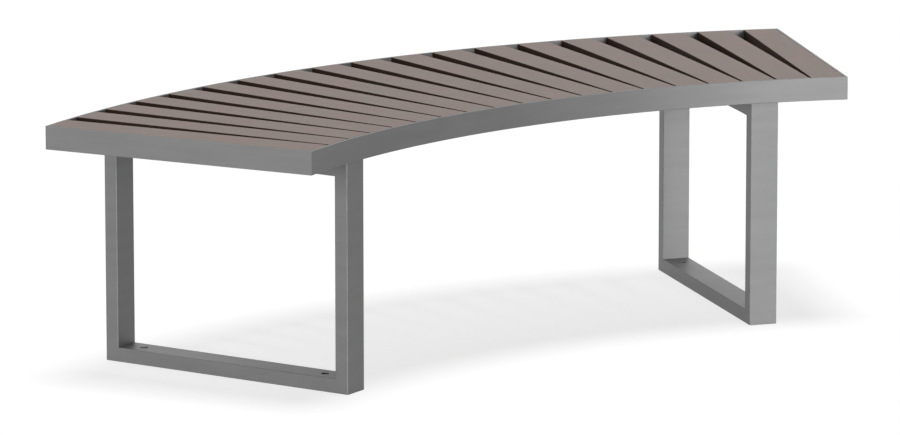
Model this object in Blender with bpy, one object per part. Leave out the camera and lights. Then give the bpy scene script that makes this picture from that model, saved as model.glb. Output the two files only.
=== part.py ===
"""Curved garden bench: composite slats in a flat steel rim, on two closed frames of steel tube.

The seat is a ring sector about a vertical axis in front of the bench. Everything is modelled from
that axis, with +Y out towards the bench, +X to its right and the floor at zero. One empty then
carries it all back, so that the origin lies on the floor under the middle of the seat.
Plan directions are angles from +Y, positive towards +X.
"""
import math

import bmesh
import bpy
from mathutils import Matrix, Vector

# Seat outline, in metres
SEAT_HEIGHT = 0.4445
OUTER_RADIUS = 1.8288
SEAT_INSIDE_DEPTH = 0.508

# Slats: parallel-sided boards whose middle lines meet at the focus, in front of the bench
SLAT_COUNT = 19
SLAT_WIDTH = 0.0608
SLAT_THICKNESS = 0.0254
SLAT_FRONT_GAP = 0.003175
SLAT_FOCUS = 0.0381
SLAT_EDGE = 0.0008
SLAT_CLEARANCE = 0.0005

# Rim: flat bar on edge round the slats
RIM_THICKNESS = 0.00476
RIM_EDGE = 0.0005

# Ledges: steel angle inside the front and rear rims, which the slats rest on
LEDGE_WIDTH = 0.0254
LEDGE_HEIGHT = 0.0155
LEDGE_WALL = 0.003175

# Holes for the slats' screws, two at each end of a slat, and room for a driver beside a leg
SCREW_HOLE = 0.0055
SCREW_EDGE = 0.0127
SCREW_SETBACK = 0.015
DRIVER_ROOM = 0.003

# Brace: flat bar on edge under the middle slat, between the ledges
BRACE_THICKNESS = 0.006

# Leg frames: closed rectangles of rectangular tube, mitred at the corners
LEG_SETBACK = 0.1778
TUBE_WIDTH = 0.0508
TUBE_DEPTH = 0.0254
TUBE_WALL = 0.003175
TUBE_CORNER = 0.0008
TUBE_INNER_CORNER = 0.0005
ANCHOR_HOLE = 0.0143
ANCHOR_SETBACK = 0.0635

# Room between pieces that touch or are welded, and how far a cutter runs past a face
FIT_GAP = 0.0003
OVERRUN = 0.002

# Fineness of round shapes
ARC_STEPS = 2 * SLAT_COUNT
SCREW_HOLE_SIDES = 8
ANCHOR_HOLE_SIDES = 20
SMOOTH_ANGLE = math.radians(30)

# Sizes that follow from the ones above
FRONT_RADIUS = OUTER_RADIUS - SEAT_INSIDE_DEPTH - 2 * RIM_THICKNESS
FRONT_INSIDE = FRONT_RADIUS + RIM_THICKNESS
REAR_INSIDE = OUTER_RADIUS - RIM_THICKNESS
MIDDLE_RADIUS = (FRONT_INSIDE + REAR_INSIDE) / 2
RIM_HEIGHT = SLAT_THICKNESS + FIT_GAP + LEDGE_HEIGHT
RIM_BOTTOM = SEAT_HEIGHT - RIM_HEIGHT
LEDGE_TOP = RIM_BOTTOM + LEDGE_HEIGHT
SLAT_PITCH = (SLAT_WIDTH + SLAT_FRONT_GAP) / (FRONT_INSIDE - SLAT_FOCUS)
END_DIRECTION = SLAT_PITCH * (SLAT_COUNT - 1) / 2
END_OFFSET = SLAT_WIDTH / 2 + SLAT_CLEARANCE + RIM_THICKNESS
LEG_HEIGHT = RIM_BOTTOM - FIT_GAP
LEG_DEPTH = SEAT_INSIDE_DEPTH - 2 * FIT_GAP
MITRE_INSET = FIT_GAP / math.sqrt(2)


def clear_scene():
    for old in list(bpy.data.objects):
        bpy.data.objects.remove(old, do_unlink=True)


def make_material(name, colour, metallic, roughness):
    material = bpy.data.materials.new(name)
    material.use_nodes = True
    shader = material.node_tree.nodes["Principled BSDF"]
    shader.inputs["Base Color"].default_value = (*colour, 1)
    shader.inputs["Metallic"].default_value = metallic
    shader.inputs["Roughness"].default_value = roughness
    return material


def make_empty(name, location, direction=0, parent=None):
    empty = bpy.data.objects.new(name, None)
    bpy.context.collection.objects.link(empty)
    empty.location = location
    empty.rotation_euler.z = -direction
    empty.parent = parent
    return empty


# Plan geometry

def reach(direction, offset, radius):
    """How far along a line it crosses a circle about the bench's axis.

    The line runs in a plan direction, offset to the right of the slats' focus, and the distance
    is counted from the point beside the focus.
    """
    along = Vector((math.sin(direction), math.cos(direction)))
    across = Vector((along.y, -along.x))
    start = Vector((0, SLAT_FOCUS)) + offset * across
    nearest = -start.dot(along)
    return nearest + math.sqrt(nearest ** 2 + radius ** 2 - start.length_squared)


def crossing(direction, offset, radius):
    """The plan point where that line crosses that circle."""
    along = Vector((math.sin(direction), math.cos(direction)))
    across = Vector((along.y, -along.x))
    distance = reach(direction, offset, radius)
    return Vector((0, SLAT_FOCUS)) + offset * across + distance * along


def end_angle(radius, inset):
    """Angle about the bench's axis where a circle meets the bench's right end, inset from its face."""
    point = crossing(END_DIRECTION, END_OFFSET - inset, radius)
    return math.atan2(point.x, point.y)


def slat_directions():
    return [SLAT_PITCH * (i - (SLAT_COUNT - 1) / 2) for i in range(SLAT_COUNT)]


def leg_angle():
    """Angle about the bench's axis at which the right leg stands. The left leg mirrors it."""
    return end_angle(MIDDLE_RADIUS, LEG_SETBACK)


def off_leg(point):
    """How far a plan point lies from the middle line of the nearer leg."""
    angle = leg_angle()
    return abs(abs(point.x) * math.cos(angle) - point.y * math.sin(angle))


# Building blocks

def eased_section(width, height, edge):
    """Outline of a rectangle with its corners cut by edge, as points round its centre."""
    x, y = width / 2, height / 2
    return [
        (x - edge, -y), (x, edge - y), (x, y - edge), (x - edge, y),
        (edge - x, y), (-x, y - edge), (-x, edge - y), (edge - x, -y),
    ]


def side_faces(mesh, rings):
    """Faces between each ring of vertices and the next."""
    for ring, following in zip(rings, rings[1:]):
        for i in range(len(ring)):
            j = (i + 1) % len(ring)
            mesh.faces.new((ring[i], ring[j], following[j], following[i]))


def add_object(name, mesh, material, parent):
    """Turns a bmesh into a named object whose faces point out."""
    bmesh.ops.recalc_face_normals(mesh, faces=mesh.faces)
    data = bpy.data.meshes.new(name)
    mesh.to_mesh(data)
    mesh.free()
    data.shade_smooth()
    data.set_sharp_from_angle(angle=SMOOTH_ANGLE)
    obj = bpy.data.objects.new(name, data)
    bpy.context.collection.objects.link(obj)
    obj.parent = parent
    if material:
        data.materials.append(material)
    return obj


def solid_bar(name, rings, material, parent):
    """A closed bar through rings of points, which all have as many."""
    mesh = bmesh.new()
    loops = [[mesh.verts.new(point) for point in ring] for ring in rings]
    side_faces(mesh, loops)
    mesh.faces.new(loops[0])
    mesh.faces.new(loops[-1])
    return add_object(name, mesh, material, parent)


def open_tube(name, outer_rings, inner_rings, material, parent):
    """A tube with open ends, between outer rings of points and inner rings of as many."""
    mesh = bmesh.new()
    outer = [[mesh.verts.new(point) for point in ring] for ring in outer_rings]
    inner = [[mesh.verts.new(point) for point in ring] for ring in inner_rings]
    side_faces(mesh, outer)
    side_faces(mesh, inner)
    side_faces(mesh, [outer[0], inner[0]])
    side_faces(mesh, [outer[-1], inner[-1]])
    return add_object(name, mesh, material, parent)


def cut_holes(obj, centres, diameter, sides, bottom, top):
    """Cuts upright round holes through an object, at points in its parent's frame."""
    mesh = bmesh.new()
    depth = top - bottom + 2 * OVERRUN
    for x, y in centres:
        bmesh.ops.create_cone(
            mesh, cap_ends=True, segments=sides, radius1=diameter / 2, radius2=diameter / 2,
            depth=depth, matrix=Matrix.Translation((x, y, (bottom + top) / 2)),
        )
    cutter = add_object(obj.name + "_cutter", mesh, None, obj.parent)
    cutter.hide_render = True
    cutter.display_type = "WIRE"
    modifier = obj.modifiers.new("Holes", "BOOLEAN")
    modifier.operation = "DIFFERENCE"
    modifier.solver = "EXACT"
    modifier.object = cutter


# Seat

def make_slats(material, parent):
    """Parallel-sided boards, each cut at both ends to follow the rims."""
    section = eased_section(SLAT_WIDTH, SLAT_THICKNESS, SLAT_EDGE)
    middle_height = SEAT_HEIGHT - SLAT_THICKNESS / 2
    half = SLAT_WIDTH / 2
    for number, direction in enumerate(slat_directions(), start=1):
        rings = []
        for radius in (FRONT_INSIDE + SLAT_CLEARANCE, REAR_INSIDE - SLAT_CLEARANCE):
            left = reach(direction, -half, radius)
            right = reach(direction, half, radius)
            slope = (right - left) / SLAT_WIDTH
            rings.append([(x, left + (x + half) * slope, middle_height + z) for x, z in section])
        slat = solid_bar(f"slat_{number:02d}", rings, material, parent)
        slat.location.y = SLAT_FOCUS
        slat.rotation_euler.z = -direction


def arc_rings(profile):
    """Rings that carry a profile round the bench, from its left end to its right.

    Each profile point is a radius, a height and how far it stops short of the bench's end face.
    """
    rings = []
    for i in range(ARC_STEPS + 1):
        share = 2 * i / ARC_STEPS - 1
        ring = []
        for radius, height, inset in profile:
            angle = share * end_angle(radius, inset)
            ring.append((radius * math.sin(angle), radius * math.cos(angle), height))
        rings.append(ring)
    return rings


def make_rims(material, parent):
    """Flat bar on edge: curved in front and behind, straight at the ends, mitred where they meet."""
    section = [
        (RIM_THICKNESS / 2 + x, RIM_BOTTOM + RIM_HEIGHT / 2 + z)
        for x, z in eased_section(RIM_THICKNESS, RIM_HEIGHT, RIM_EDGE)
    ]
    front = [(FRONT_RADIUS + d, z, d + MITRE_INSET) for d, z in section]
    rear = [(OUTER_RADIUS - d, z, d + MITRE_INSET) for d, z in section]
    solid_bar("front_rim", arc_rings(front), material, parent)
    solid_bar("rear_rim", arc_rings(rear), material, parent)
    for name, side in (("left_end_rim", -1), ("right_end_rim", 1)):
        rings = []
        for start, sign in ((FRONT_RADIUS, 1), (OUTER_RADIUS, -1)):
            ring = []
            for d, z in section:
                radius = start + sign * (d + MITRE_INSET)
                point = crossing(END_DIRECTION, END_OFFSET - d, radius)
                ring.append((side * point.x, point.y, z))
            rings.append(ring)
        solid_bar(name, rings, material, parent)


def screw_places(radius):
    """Plan points of the slats' screws along one ledge, without those that a leg keeps a driver from."""
    side = SLAT_WIDTH / 2 - SCREW_EDGE
    room = TUBE_WIDTH / 2 + DRIVER_ROOM
    places = [crossing(d, x, radius) for d in slat_directions() for x in (-side, side)]
    return [point for point in places if off_leg(point) > room]


def make_ledges(material, parent):
    """Angle bent to the rims' curve, with its upright leg on the rim and its flat leg on top."""
    inset = RIM_THICKNESS + FIT_GAP
    shapes = (
        ("front_ledge", FRONT_INSIDE + FIT_GAP, 1, FRONT_INSIDE + SCREW_SETBACK),
        ("rear_ledge", REAR_INSIDE - FIT_GAP, -1, REAR_INSIDE - SCREW_SETBACK),
    )
    for name, back, sign, screw_radius in shapes:
        inner = back + sign * LEDGE_WALL
        tip = back + sign * LEDGE_WIDTH
        profile = [
            (back, RIM_BOTTOM, inset), (inner, RIM_BOTTOM, inset),
            (inner, LEDGE_TOP - LEDGE_WALL, inset), (tip, LEDGE_TOP - LEDGE_WALL, inset),
            (tip, LEDGE_TOP, inset), (back, LEDGE_TOP, inset),
        ]
        ledge = solid_bar(name, arc_rings(profile), material, parent)
        cut_holes(
            ledge, screw_places(screw_radius), SCREW_HOLE, SCREW_HOLE_SIDES,
            LEDGE_TOP - LEDGE_WALL, LEDGE_TOP,
        )


def make_brace(material, parent):
    """Flat bar on edge that ties the two ledges together under the middle slat."""
    top = LEDGE_TOP - LEDGE_WALL - FIT_GAP
    wall = LEDGE_WALL + 2 * FIT_GAP
    x = BRACE_THICKNESS / 2
    rings = [
        [(-x, y, RIM_BOTTOM), (x, y, RIM_BOTTOM), (x, y, top), (-x, y, top)]
        for y in (FRONT_INSIDE + wall, REAR_INSIDE - wall)
    ]
    solid_bar("centre_brace", rings, material, parent)


# Legs

def mitred_tube(name, start, end, inward, material, parent):
    """One side of a leg frame, between two outer corners of it in the frame's own plane."""
    start, end, inward = Vector(start), Vector(end), Vector(inward)
    along = (end - start).normalized()
    inner_width = TUBE_WIDTH - 2 * TUBE_WALL
    inner_depth = TUBE_DEPTH - 2 * TUBE_WALL
    loops = []
    for section in (
        eased_section(TUBE_WIDTH, TUBE_DEPTH, TUBE_CORNER),
        eased_section(inner_width, inner_depth, TUBE_INNER_CORNER),
    ):
        rings = []
        for corner, sign in ((start, 1), (end, -1)):
            ring = []
            for x, d in section:
                depth = d + TUBE_DEPTH / 2
                point = corner + sign * (depth + MITRE_INSET) * along + depth * inward
                ring.append((x, point.x, point.y))
            rings.append(ring)
        loops.append(rings)
    return open_tube(name, *loops, material, parent)


def make_leg(side, sign, material, parent):
    """A closed leg frame of four tubes, set radially under the seat."""
    angle = sign * leg_angle()
    place = (MIDDLE_RADIUS * math.sin(angle), MIDDLE_RADIUS * math.cos(angle), 0)
    leg = make_empty(f"{side}_leg", place, angle, parent)
    front, rear, top = -LEG_DEPTH / 2, LEG_DEPTH / 2, LEG_HEIGHT
    mitred_tube(f"{side}_leg_front_post", (front, 0), (front, top), (1, 0), material, leg)
    mitred_tube(f"{side}_leg_rear_post", (rear, 0), (rear, top), (-1, 0), material, leg)
    mitred_tube(f"{side}_leg_top_bar", (front, top), (rear, top), (0, -1), material, leg)
    bottom_bar = mitred_tube(f"{side}_leg_bottom_bar", (front, 0), (rear, 0), (0, 1), material, leg)
    anchors = [(0, front + ANCHOR_SETBACK), (0, rear - ANCHOR_SETBACK)]
    cut_holes(bottom_bar, anchors, ANCHOR_HOLE, ANCHOR_HOLE_SIDES, 0, TUBE_DEPTH)


def main():
    clear_scene()
    steel = make_material("powder_coated_steel", (0.27, 0.27, 0.27), 0.0, 0.45)
    composite = make_material("taupe_composite", (0.28, 0.25, 0.22), 0.0, 0.6)
    front_corner = crossing(END_DIRECTION, END_OFFSET, FRONT_RADIUS + MITRE_INSET)
    axis = make_empty("bench_axis", (0, -(front_corner.y + OUTER_RADIUS) / 2, 0))
    make_slats(composite, axis)
    make_rims(steel, axis)
    make_ledges(steel, axis)
    make_brace(steel, axis)
    make_leg("left", -1, steel, axis)
    make_leg("right", 1, steel, axis)


main()
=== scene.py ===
import math
import random

import bmesh
import bpy
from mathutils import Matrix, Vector


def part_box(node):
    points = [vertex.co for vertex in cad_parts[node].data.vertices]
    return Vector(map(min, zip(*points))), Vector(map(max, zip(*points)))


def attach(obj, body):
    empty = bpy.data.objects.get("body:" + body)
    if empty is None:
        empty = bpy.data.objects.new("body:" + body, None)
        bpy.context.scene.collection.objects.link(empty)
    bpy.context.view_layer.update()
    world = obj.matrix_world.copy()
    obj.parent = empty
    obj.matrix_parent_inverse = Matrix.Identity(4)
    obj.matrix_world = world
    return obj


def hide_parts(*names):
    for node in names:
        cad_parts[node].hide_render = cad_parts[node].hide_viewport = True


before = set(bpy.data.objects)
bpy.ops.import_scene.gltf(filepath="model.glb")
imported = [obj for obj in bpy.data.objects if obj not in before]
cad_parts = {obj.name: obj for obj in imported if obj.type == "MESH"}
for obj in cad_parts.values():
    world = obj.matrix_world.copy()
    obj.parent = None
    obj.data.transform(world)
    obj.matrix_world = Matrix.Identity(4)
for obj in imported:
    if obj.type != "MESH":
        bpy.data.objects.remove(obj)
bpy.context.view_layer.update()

# Sizes of the model that the new pieces are set out from, in metres
AXIS_Y = -1.500494
OUTER_RADIUS = 1.8288
SEAT_INSIDE_DEPTH = 0.508
SLAT_COUNT = 19
SLAT_WIDTH = 0.0608
SLAT_FRONT_GAP = 0.003175
SLAT_FOCUS = 0.0381
RIM_THICKNESS = 0.00476
LEDGE_WALL = 0.003175
BRACE_THICKNESS = 0.006
TUBE_WIDTH = 0.0508
SCREW_EDGE = 0.0127
SCREW_SETBACK = 0.015
DRIVER_ROOM = 0.003
FIT_GAP = 0.0003
FRONT_INSIDE = OUTER_RADIUS - SEAT_INSIDE_DEPTH - RIM_THICKNESS
REAR_INSIDE = OUTER_RADIUS - RIM_THICKNESS
SLAT_PITCH = (SLAT_WIDTH + SLAT_FRONT_GAP) / (FRONT_INSIDE - SLAT_FOCUS)

# Steel nodes: two rings of welded ones, that of the seat and that of a leg, and those that keep their mesh
SEAT_RING = ("front_rim", "left_end_rim", "rear_rim", "right_end_rim")
LEG_RING = ("front_post", "top_bar", "rear_post", "bottom_bar")
PLAIN_NODES = ("front_ledge", "rear_ledge", "centre_brace")

# Fineness and edges of the dressed pieces
SAME_POINT = 0.00002
JOINT_REACH = 0.0005
FLAT_ANGLE = math.radians(0.1)
SMOOTH_ANGLE = math.radians(30)
STEEL_EDGE = 0.00025
SLAT_EDGE = 0.0003
EDGE_SEGMENTS = 2
EDGE_PROFILE = 0.5
GRAIN_SHIFT = 9

# Pan-head screws
HEAD_RADIUS = 0.0046
HEAD_HEIGHT = 0.0026
HEAD_BRIM = 0.0007
DOME_STEPS = 4
RECESS_RADIUS = 0.0019
RECESS_DEPTH = 0.0015
RECESS_LAND = 1.3
HEAD_SIDES = 24
RECESS_SIDES = 6

# Weld beads
BEAD_LEG = 0.003
BEAD_STEP = 0.0005
BEAD_SIDES = 6
RIPPLE_STEPS = 3
RIPPLE_DEPTH = 0.12
BEAD_WOBBLE = 0.02
BEAD_TAPER = 8
BEAD_MARGIN = 0.0015
STITCH_LENGTH = 0.025
STITCH_SPREAD = 0.65
STITCH_CROWN = 0.25
STITCH_SLATS = (1.5, 4.5, 7.5, 10.5, 13.5, 16.5)

# Colours
STEEL_LIGHT = (0.145, 0.145, 0.145)
STEEL_DARK = (0.135, 0.136, 0.137)
SLAT_PINK = (0.290, 0.224, 0.211)
SLAT_GREEN = (0.264, 0.232, 0.207)
# Painted shade: a dark brown on the slats' sides and ends that stands for the shade in the gaps, not the
# board's own colour
SLAT_SIDE_SHADE = (0.020, 0.010, 0.006)
SCREW_LIGHT = (0.56, 0.56, 0.57)
SCREW_DARK = (0.42, 0.42, 0.43)

# Noises: each has its scale, its detail and, where it isn't the usual one, its roughness
COAT_CLOUDS = (7.0, 3.0)
COAT_STREAKS = (2.0, 3.0)
COAT_PEEL = (700.0, 2.0)
COAT_GRAIN = (2600.0, 1.0)
SLAT_MOTTLE = (22.0, 3.0)
SLAT_PATCHES = (9.0, 2.0)
SLAT_STREAKS = (1.0, 4.0, 0.6)
SLAT_LINES = (1.0, 2.0)
SLAT_SPECK = (1500.0, 1.0)
SCREW_MARKS = (900.0, 3.0)
USUAL_ROUGHNESS = 0.5

# How close together streaks and lines lie along each axis
COAT_STREAK_SCALE = (5, 5, 36)
SLAT_STREAK_SCALE = (14, 420, 420)
SLAT_LINE_SCALE = (12, 1100, 1100)

# Factors between which a noise darkens and lightens the colour
COAT_STREAK_TONES = (0.96, 1.04)
SLAT_PATCH_TONES = (0.97, 1.03)
SLAT_STREAK_TONES = (0.95, 1.05)
SLAT_LINE_TONES = (0.91, 1.09)
SLAT_SPECK_TONES = (0.97, 1.03)

# Finish of the materials
COAT_ROUGHNESS = (0.47, 0.52)
COAT_METALLIC = 0.85
SLAT_ROUGHNESS = (0.68, 0.8)
SLAT_SPECULAR = 0.12
SCREW_ROUGHNESS = (0.26, 0.4)

# Heights of the bumps, in metres
COAT_PEEL_HEIGHT = 0.00006
COAT_GRAIN_HEIGHT = 0.00001
SLAT_STREAK_HEIGHT = 0.00012
SLAT_LINE_HEIGHT = 0.0001
SLAT_SPECK_HEIGHT = 0.00003
SCREW_MARK_HEIGHT = 0.00002

# The span that most of a noise lies in, and the span of levelness over which the painted shade on a slat's
# sides fades out towards its top
NOISE_SPAN = (0.3, 0.7)
SIDE_SHADE_SPAN = (0.75, 0.95)

# Camera, found from the photograph
CAMERA_PLACE = (-7.00449, -9.23974, 2.54097)
CAMERA_TURN = (1.372219, 0.000626, -0.645267)
CAMERA_LENS = 266.836
CAMERA_REACH = 100
SENSOR_WIDTH = 36

# Studio
WORLD_STRENGTH = 0.1
FLOOR_GLOW = 0.755
FLOOR_SEEN = 0.35
FLOOR_BOUNCE = 0.8
FLOOR_RADIUS = 25.0
FLOOR_SIDES = 96
LAMPS = (
    # name, what it lights, azimuth, elevation, angle, strength
    ("key_lamp", "bench", 9, 8, 16, 2.45),
    ("wash_lamp", "bench", 90, 8, 40, 1.65),
    ("back_lamp", "bench", 238, 30, 40, 0.35),
    ("top_lamp", "bench", 0, 90, 90, 1.45),
    ("floor_lamp", "floor", 0, 90, 20, 2.0),
)


# Materials

def new_material(name):
    material = bpy.data.materials.new(name)
    material.use_nodes = True
    return material, material.node_tree


def add_noise(tree, place, scale, detail, roughness=USUAL_ROUGHNESS):
    noise = tree.nodes.new("ShaderNodeTexNoise")
    noise.inputs["Scale"].default_value = scale
    noise.inputs["Detail"].default_value = detail
    noise.inputs["Roughness"].default_value = roughness
    tree.links.new(place, noise.inputs["Vector"])
    return noise.outputs["Fac"]


def add_mapping(tree, place, scale):
    mapping = tree.nodes.new("ShaderNodeMapping")
    mapping.inputs["Scale"].default_value = scale
    tree.links.new(place, mapping.inputs["Vector"])
    return mapping.outputs["Vector"]


def add_range(tree, value, low, high, span=NOISE_SPAN):
    """Spreads the span that a value lies in to the range from low to high."""
    spread = tree.nodes.new("ShaderNodeMapRange")
    spread.inputs["From Min"].default_value = span[0]
    spread.inputs["From Max"].default_value = span[1]
    spread.inputs["To Min"].default_value = low
    spread.inputs["To Max"].default_value = high
    tree.links.new(value, spread.inputs["Value"])
    return spread.outputs["Result"]


def add_mix(tree, factor, first, second, blend="MIX"):
    """Mixes two colours, each a tuple or a socket, by a number or a socket."""
    mix = tree.nodes.new("ShaderNodeMix")
    mix.data_type = "RGBA"
    mix.blend_type = blend
    for socket, value in ((mix.inputs[0], factor), (mix.inputs[6], first), (mix.inputs[7], second)):
        if isinstance(value, bpy.types.NodeSocket):
            tree.links.new(value, socket)
        elif isinstance(value, tuple):
            socket.default_value = (*value, 1)
        else:
            socket.default_value = value
    return mix.outputs[2]


def add_tones(tree, colour, *noises):
    """Darkens and lightens a colour by noises, each with the two factors that it runs between."""
    for noise, factors in noises:
        colour = add_mix(tree, 1.0, colour, add_range(tree, noise, *factors), "MULTIPLY")
    return colour


def add_bumps(tree, *noises):
    """The normal that noises give, one on top of another, each with its height."""
    normal = None
    for noise, height in noises:
        bump = tree.nodes.new("ShaderNodeBump")
        bump.inputs["Strength"].default_value = 1.0
        bump.inputs["Distance"].default_value = height
        tree.links.new(noise, bump.inputs["Height"])
        if normal:
            tree.links.new(normal, bump.inputs["Normal"])
        normal = bump.outputs["Normal"]
    return normal


def add_side_shade_mask(tree):
    """Mask of the painted shade: one on a slat's sides and ends, and zero on its top and underside."""
    normal = tree.nodes.new("ShaderNodeSeparateXYZ")
    tree.links.new(tree.nodes.new("ShaderNodeNewGeometry").outputs["True Normal"], normal.inputs[0])
    level = tree.nodes.new("ShaderNodeMath")
    level.operation = "ABSOLUTE"
    tree.links.new(normal.outputs["Z"], level.inputs[0])
    return add_range(tree, level.outputs[0], 1, 0, SIDE_SHADE_SPAN)


def make_powder_coat():
    """Satin grey powder coat: a faint orange peel, with clouds and streaks that hardly show."""
    material, tree = new_material("powder_coat")
    shader = tree.nodes["Principled BSDF"]
    place = tree.nodes.new("ShaderNodeTexCoord").outputs["Object"]
    clouds = add_noise(tree, place, *COAT_CLOUDS)
    streaks = add_noise(tree, add_mapping(tree, place, COAT_STREAK_SCALE), *COAT_STREAKS)
    peel = add_noise(tree, place, *COAT_PEEL)
    grain = add_noise(tree, place, *COAT_GRAIN)
    colour = add_mix(tree, add_range(tree, clouds, 0, 1), STEEL_DARK, STEEL_LIGHT)
    colour = add_tones(tree, colour, (streaks, COAT_STREAK_TONES))
    normal = add_bumps(tree, (peel, COAT_PEEL_HEIGHT), (grain, COAT_GRAIN_HEIGHT))
    tree.links.new(colour, shader.inputs["Base Color"])
    tree.links.new(add_range(tree, clouds, *COAT_ROUGHNESS), shader.inputs["Roughness"])
    tree.links.new(normal, shader.inputs["Normal"])
    shader.inputs["Metallic"].default_value = COAT_METALLIC
    return material


def make_composite():
    """Taupe board: a soft mottle, streaks and fine brushed lines along the grain, and sides and ends
    painted dark brown as the shade that lies in the gaps between slats.
    """
    material, tree = new_material("taupe_composite")
    shader = tree.nodes["Principled BSDF"]
    board = tree.nodes.new("ShaderNodeAttribute")
    board.attribute_name = "board"
    place = board.outputs["Vector"]
    mottle = add_noise(tree, place, *SLAT_MOTTLE)
    patches = add_noise(tree, place, *SLAT_PATCHES)
    streaks = add_noise(tree, add_mapping(tree, place, SLAT_STREAK_SCALE), *SLAT_STREAKS)
    lines = add_noise(tree, add_mapping(tree, place, SLAT_LINE_SCALE), *SLAT_LINES)
    speck = add_noise(tree, place, *SLAT_SPECK)
    colour = add_mix(tree, add_range(tree, mottle, 0, 1), SLAT_PINK, SLAT_GREEN)
    colour = add_tones(
        tree, colour, (patches, SLAT_PATCH_TONES), (streaks, SLAT_STREAK_TONES),
        (lines, SLAT_LINE_TONES), (speck, SLAT_SPECK_TONES),
    )
    # Painted shade: the sides and ends take a dark brown that stands for the shade between the slats
    colour = add_mix(tree, add_side_shade_mask(tree), colour, SLAT_SIDE_SHADE)
    normal = add_bumps(
        tree, (streaks, SLAT_STREAK_HEIGHT), (lines, SLAT_LINE_HEIGHT), (speck, SLAT_SPECK_HEIGHT),
    )
    tree.links.new(colour, shader.inputs["Base Color"])
    tree.links.new(add_range(tree, streaks, *SLAT_ROUGHNESS), shader.inputs["Roughness"])
    tree.links.new(normal, shader.inputs["Normal"])
    shader.inputs["Specular IOR Level"].default_value = SLAT_SPECULAR
    return material


def make_screw_steel():
    """Bright screw steel with fine turning marks."""
    material, tree = new_material("screw_steel")
    shader = tree.nodes["Principled BSDF"]
    place = tree.nodes.new("ShaderNodeTexCoord").outputs["Object"]
    marks = add_noise(tree, place, *SCREW_MARKS)
    tree.links.new(add_mix(tree, marks, SCREW_DARK, SCREW_LIGHT), shader.inputs["Base Color"])
    tree.links.new(add_range(tree, marks, *SCREW_ROUGHNESS), shader.inputs["Roughness"])
    tree.links.new(add_bumps(tree, (marks, SCREW_MARK_HEIGHT)), shader.inputs["Normal"])
    shader.inputs["Metallic"].default_value = 1.0
    return material


# Places on the bench

def crossing(direction, offset, radius):
    """Where a line through the slats' focus, moved offset to its right, meets a circle about the axis."""
    along = Vector((math.sin(direction), math.cos(direction)))
    across = Vector((along.y, -along.x))
    start = Vector((0, SLAT_FOCUS)) + offset * across
    nearest = -start.dot(along)
    distance = nearest + math.sqrt(nearest ** 2 + radius ** 2 - start.length_squared)
    return start + distance * along


def slat_direction(number):
    """Direction of a slat's middle line, counted from 0 at the left end. A half is between two slats."""
    return SLAT_PITCH * (number - (SLAT_COUNT - 1) / 2)


def slat_directions():
    return [slat_direction(number) for number in range(SLAT_COUNT)]


def compass(angle):
    """Directions outward and to the right at an angle about the bench's axis."""
    return Vector((math.sin(angle), math.cos(angle), 0)), Vector((math.cos(angle), -math.sin(angle), 0))


def axis_point(angle, radius, height):
    return Vector((radius * math.sin(angle), AXIS_Y + radius * math.cos(angle), height))


def leg_angle():
    """Angle about the bench's axis at which the right leg stands."""
    low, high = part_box("right_leg_bottom_bar")
    middle = (low + high) / 2
    return math.atan2(middle.x, middle.y - AXIS_Y)


def off_leg(point):
    """How far a plan point about the bench's axis lies from the middle line of the nearer leg."""
    angle = leg_angle()
    return abs(abs(point.x) * math.cos(angle) - point.y * math.sin(angle))


def flange_low():
    """Height of the underside of the ledges' flanges, which the slats lie on."""
    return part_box("slat_01")[0].z - FIT_GAP - LEDGE_WALL


# Pieces

def cleaned_copy(node):
    """The node's mesh with its doubled points joined and its flat faces made whole."""
    mesh = bmesh.new()
    mesh.from_mesh(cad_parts[node].data)
    bmesh.ops.remove_doubles(mesh, verts=mesh.verts, dist=SAME_POINT)
    bmesh.ops.dissolve_limit(mesh, angle_limit=FLAT_ANGLE, verts=mesh.verts, edges=mesh.edges)
    mesh.verts.layers.int.new("joint")
    return mesh


def close_joint(first, second):
    """Brings the ends of two welded pieces together half way, and marks the points that meet."""
    marks = [mesh.verts.layers.int["joint"] for mesh in (first, second)]
    for a in first.verts:
        for b in second.verts:
            if (a.co - b.co).length < JOINT_REACH:
                middle = (a.co + b.co) / 2
                a.co = middle
                b.co = middle
                a[marks[0]] = 1
                b[marks[1]] = 1


def round_edges(mesh, width):
    """Rounds every sharp edge but those where welded pieces meet."""
    mark = mesh.verts.layers.int["joint"]
    sharp = [edge for edge in mesh.edges if edge.is_manifold and edge.calc_face_angle() > SMOOTH_ANGLE]
    bmesh.ops.bevel(
        mesh, geom=[edge for edge in sharp if not all(vertex[mark] for vertex in edge.verts)],
        offset=width, offset_type="OFFSET", segments=EDGE_SEGMENTS, profile=EDGE_PROFILE,
        affect="EDGES", clamp_overlap=True,
    )


def add_object(name, data):
    thing = bpy.data.objects.new(name, data)
    bpy.context.scene.collection.objects.link(thing)
    return thing


def mesh_data(name, mesh, material):
    """Mesh data of one material from a bmesh, which this uses up."""
    data = bpy.data.meshes.new(name)
    mesh.to_mesh(data)
    mesh.free()
    data.materials.append(material)
    return data


def finish_piece(name, mesh, material, slot, *nodes):
    """Turns a bmesh into a piece that rides on the bench and stands for some of its nodes."""
    bmesh.ops.recalc_face_normals(mesh, faces=mesh.faces)
    data = mesh_data(name, mesh, material)
    data.shade_smooth()
    data.set_sharp_from_angle(angle=SMOOTH_ANGLE)
    piece = add_object(name, data)
    weighted = piece.modifiers.new("Flat faces stay flat", "WEIGHTED_NORMAL")
    weighted.keep_sharp = True
    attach(piece, "root")
    if nodes:
        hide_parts(*nodes)
    return piece


def coat_nodes(material):
    """Powder coat on the steel nodes that keep their own mesh."""
    for node in PLAIN_NODES:
        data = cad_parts[node].data
        data.materials.clear()
        data.materials.append(material)


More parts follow.
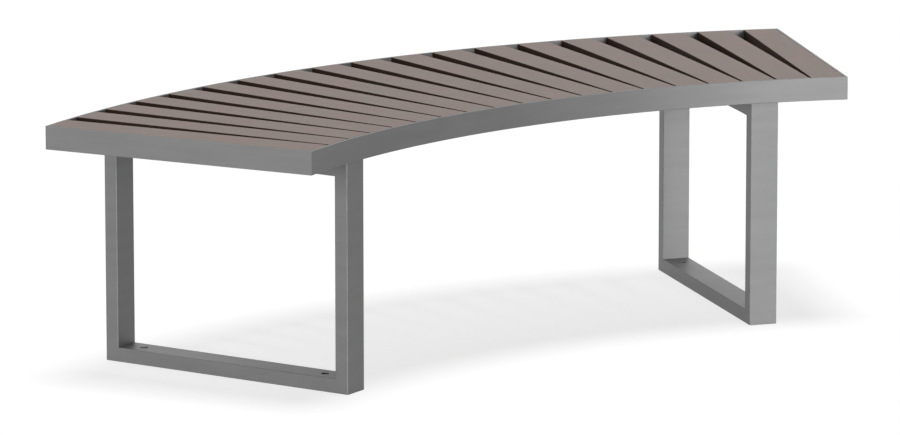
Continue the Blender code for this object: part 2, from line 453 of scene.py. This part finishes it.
def add_welded_steel(material):
    """Rims and leg tubes with rounded edges, closed up where their corners are welded and ground."""
    legs = [tuple(f"{side}_leg_{part}" for part in LEG_RING) for side in ("left", "right")]
    for ring in (SEAT_RING, *legs):
        meshes = [cleaned_copy(node) for node in ring]
        for i, mesh in enumerate(meshes):
            close_joint(meshes[i - 1], mesh)
        for node, mesh in zip(ring, meshes):
            round_edges(mesh, STEEL_EDGE)
            finish_piece(f"{node}_steel", mesh, material, "steel", node)


def add_slats(material):
    """Each slat with rounded edges, and with its own length and width for the grain to follow."""
    chance = random.Random(SLAT_COUNT)
    focus = Vector((0, AXIS_Y + SLAT_FOCUS, 0))
    for number, direction in enumerate(slat_directions(), start=1):
        node = f"slat_{number:02d}"
        mesh = cleaned_copy(node)
        round_edges(mesh, SLAT_EDGE)
        piece = finish_piece(f"{node}_board", mesh, material, "slats", node)
        along, across = compass(direction)
        shift = Vector((chance.uniform(0, GRAIN_SHIFT), chance.uniform(0, GRAIN_SHIFT), 0))
        board = piece.data.attributes.new("board", "FLOAT_VECTOR", "POINT")
        for vertex, value in zip(piece.data.vertices, board.data):
            place = vertex.co - focus
            value.vector = Vector((place.dot(along), place.dot(across), place.z)) + shift


# Screws

def add_screws(material):
    """Pan-head screws under the ledges, two at each end of each slat, where no leg keeps a driver out."""
    mesh = bmesh.new()
    seat = flange_low()
    side = SLAT_WIDTH / 2 - SCREW_EDGE
    room = TUBE_WIDTH / 2 + DRIVER_ROOM
    for radius in (FRONT_INSIDE + SCREW_SETBACK, REAR_INSIDE - SCREW_SETBACK):
        for direction in slat_directions():
            for offset in (-side, side):
                point = crossing(direction, offset, radius)
                if off_leg(point) > room:
                    add_screw(mesh, Vector((point.x, point.y + AXIS_Y, seat)))
    finish_piece("slat_screws", mesh, material, "steel")


def add_screw(mesh, seat):
    """A domed head that hangs from its seat, with a six-sided recess."""
    land = RECESS_RADIUS * RECESS_LAND
    outline = [(HEAD_RADIUS, 0)]
    for i in range(DOME_STEPS + 1):
        turn = math.pi / 2 * i / DOME_STEPS
        radius = land + (HEAD_RADIUS - land) * math.cos(turn)
        outline.append((radius, -HEAD_BRIM - (HEAD_HEIGHT - HEAD_BRIM) * math.sin(turn)))
    rings = [ring_at(mesh, seat, radius, height, HEAD_SIDES) for radius, height in outline]
    mouth = ring_at(mesh, seat, RECESS_RADIUS, -HEAD_HEIGHT, RECESS_SIDES)
    floor = ring_at(mesh, seat, RECESS_RADIUS, RECESS_DEPTH - HEAD_HEIGHT, RECESS_SIDES)
    for low, high in zip(rings, rings[1:]):
        join_rings(mesh, low, high)
    join_rings(mesh, mouth, floor)
    mesh.faces.new(rings[0])
    mesh.faces.new(floor)
    per_side = HEAD_SIDES // RECESS_SIDES
    for i in range(RECESS_SIDES):
        outer = [rings[-1][(i * per_side + k) % HEAD_SIDES] for k in range(per_side + 1)]
        mesh.faces.new([mouth[i], *outer, mouth[(i + 1) % RECESS_SIDES]])


def ring_at(mesh, seat, radius, height, sides):
    """A level ring of points around the upright line through the seat."""
    ring = []
    for i in range(sides):
        turn = 2 * math.pi * i / sides
        offset = Vector((radius * math.cos(turn), radius * math.sin(turn), height))
        ring.append(mesh.verts.new(seat + offset))
    return ring


def join_rings(mesh, first, second):
    for i in range(len(first)):
        j = (i + 1) % len(first)
        mesh.faces.new((first[i], first[j], second[j], second[i]))


# Weld beads

def add_welds(material):
    """Beads inside the seat frame: ledges to top bars, brace to ledges, and stitches from rim to ledge."""
    chance = random.Random(SLAT_COUNT)
    mesh = bmesh.new()
    for radius, inward in ((FRONT_INSIDE, 1), (REAR_INSIDE, -1)):
        for side in (-1, 1):
            add_leg_bead(mesh, chance, radius, inward, side)
            add_brace_bead(mesh, chance, radius, inward, side)
        for number in STITCH_SLATS:
            add_stitch(mesh, chance, radius, inward, number)
    finish_piece("seat_frame_welds", mesh, material, "steel")


def add_leg_bead(mesh, chance, radius, inward, side):
    """Across a leg's top bar, along the inner face of a ledge's upright wall."""
    angle = side * leg_angle()
    out, across = compass(angle)
    root = axis_point(angle, radius + inward * (LEDGE_WALL + FIT_GAP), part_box("left_leg_top_bar")[1].z)
    half = across * (TUBE_WIDTH / 2 - BEAD_MARGIN)
    add_bead(mesh, chance, root - half, root + half, inward * out, Vector((0, 0, 1)))


def add_brace_bead(mesh, chance, radius, inward, side):
    """Upright, in the corner between one side of the brace and the inner face of a ledge."""
    low = axis_point(0, radius + inward * (LEDGE_WALL + FIT_GAP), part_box("front_rim")[0].z + BEAD_MARGIN)
    low.x += side * BRACE_THICKNESS / 2
    high = Vector((low.x, low.y, flange_low() - BEAD_MARGIN))
    add_bead(mesh, chance, low, high, Vector((side, 0, 0)), inward * Vector((0, 1, 0)))


def add_stitch(mesh, chance, radius, inward, number):
    """Under the seam between a rim and a ledge, where a slat's middle line would cross it."""
    angle = math.atan2(*crossing(slat_direction(number), 0, radius))
    out, across = compass(angle)
    root = axis_point(angle, radius + inward * FIT_GAP / 2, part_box("front_rim")[0].z)
    half = across * STITCH_LENGTH / 2
    down = Vector((0, 0, -STITCH_CROWN))
    add_bead(mesh, chance, root - half, root + half, STITCH_SPREAD * out, down, math.pi)


def add_bead(mesh, chance, start, end, one, other, sweep=math.pi / 2):
    """A rippled weld bead on a straight root, rounded from one direction to the other."""
    steps = max(BEAD_TAPER, round((end - start).length / BEAD_STEP))
    turns = [sweep * k / BEAD_SIDES for k in range(BEAD_SIDES + 1)]
    rings = []
    for i in range(steps + 1):
        root = start.lerp(end, i / steps)
        wobble = chance.uniform(-BEAD_WOBBLE, BEAD_WOBBLE)
        ripple = 1 - RIPPLE_DEPTH * (i % RIPPLE_STEPS) / RIPPLE_STEPS + wobble
        nose = min(1, (min(i, steps - i) + 1) / BEAD_TAPER)
        size = BEAD_LEG * ripple * math.sqrt(nose)
        ring = [root] + [root + size * (one * math.cos(t) + other * math.sin(t)) for t in turns]
        rings.append([mesh.verts.new(point) for point in ring])
    for low, high in zip(rings, rings[1:]):
        join_rings(mesh, low, high)
    mesh.faces.new(rings[0])
    mesh.faces.new(rings[-1])


# Studio

def make_camera():
    data = bpy.data.cameras.new("camera")
    data.sensor_width = SENSOR_WIDTH
    data.lens = CAMERA_LENS
    data.clip_end = CAMERA_REACH
    camera = add_object("camera", data)
    camera.location = CAMERA_PLACE
    camera.rotation_euler = CAMERA_TURN
    bpy.context.scene.camera = camera


def make_lamps(floor):
    """Wide distant lamps. Some light the bench alone, and one lights the floor alone for its shadow."""
    groups = {
        "bench": light_group("bench_only", floor, "EXCLUDE"),
        "floor": light_group("floor_only", floor, "INCLUDE"),
    }
    for name, lights, azimuth, elevation, angle, strength in LAMPS:
        lamp = make_lamp(name, azimuth, elevation, angle, strength)
        lamp.light_linking.receiver_collection = groups[lights]


def light_group(name, thing, state):
    group = bpy.data.collections.new(name)
    group.objects.link(thing)
    group.collection_objects[0].light_linking.link_state = state
    return group


def make_lamp(name, azimuth, elevation, angle, strength):
    """A lamp like a far round softbox, from a compass direction counted from -Y towards -X, in degrees."""
    turn, rise = math.radians(azimuth), math.radians(elevation)
    away = Vector((-math.sin(turn) * math.cos(rise), -math.cos(turn) * math.cos(rise), math.sin(rise)))
    data = bpy.data.lights.new(name, "SUN")
    data.angle = math.radians(angle)
    data.energy = strength
    lamp = add_object(name, data)
    lamp.rotation_euler = away.to_track_quat("Z", "Y").to_euler()
    return lamp


def make_world():
    """White to the camera and in reflections, and an even soft light on everything else."""
    world = bpy.data.worlds.new("studio")
    bpy.context.scene.world = world
    world.use_nodes = True
    tree = world.node_tree
    tree.nodes.clear()
    light = add_background(tree, WORLD_STRENGTH)
    white = add_background(tree, 1.0)
    finish_tree(tree, light, white, "ShaderNodeOutputWorld")


def make_floor():
    """A pale floor that is white in the open and light grey in the bench's shadow."""
    material, tree = new_material("studio_floor")
    tree.nodes.clear()
    glow = tree.nodes.new("ShaderNodeEmission")
    glow.inputs["Strength"].default_value = FLOOR_GLOW
    lit = tree.nodes.new("ShaderNodeAddShader")
    tree.links.new(glow.outputs[0], lit.inputs[0])
    tree.links.new(add_diffuse(tree, FLOOR_SEEN), lit.inputs[1])
    finish_tree(tree, add_diffuse(tree, FLOOR_BOUNCE), lit.outputs[0], "ShaderNodeOutputMaterial")
    mesh = bmesh.new()
    bmesh.ops.create_circle(mesh, cap_ends=True, segments=FLOOR_SIDES, radius=FLOOR_RADIUS)
    floor = add_object("studio_floor", mesh_data("studio_floor", mesh, material))
    return floor


def add_background(tree, strength):
    background = tree.nodes.new("ShaderNodeBackground")
    background.inputs["Strength"].default_value = strength
    background.inputs["Color"].default_value = (1, 1, 1, 1)
    return background.outputs[0]


def add_diffuse(tree, level):
    diffuse = tree.nodes.new("ShaderNodeBsdfDiffuse")
    diffuse.inputs["Color"].default_value = (level, level, level, 1)
    return diffuse.outputs[0]


def finish_tree(tree, light, seen, output):
    """Gives camera, glossy and transmission rays the shader that is seen, and all others the light."""
    mix = tree.nodes.new("ShaderNodeMixShader")
    tree.links.new(seen_rays(tree), mix.inputs[0])
    tree.links.new(light, mix.inputs[1])
    tree.links.new(seen, mix.inputs[2])
    tree.links.new(mix.outputs[0], tree.nodes.new(output).inputs[0])


def seen_rays(tree):
    """One for camera, glossy and transmission rays, and zero for the rest."""
    path = tree.nodes.new("ShaderNodeLightPath")
    total = path.outputs["Is Camera Ray"]
    for name in ("Is Glossy Ray", "Is Transmission Ray"):
        either = tree.nodes.new("ShaderNodeMath")
        either.operation = "MAXIMUM"
        tree.links.new(total, either.inputs[0])
        tree.links.new(path.outputs[name], either.inputs[1])
        total = either.outputs[0]
    return total


def main():
    powder_coat = make_powder_coat()
    coat_nodes(powder_coat)
    add_welded_steel(powder_coat)
    add_welds(powder_coat)
    add_slats(make_composite())
    add_screws(make_screw_steel())
    make_camera()
    make_world()
    make_lamps(make_floor())
    bpy.context.scene.view_settings.view_transform = "Standard"


main()
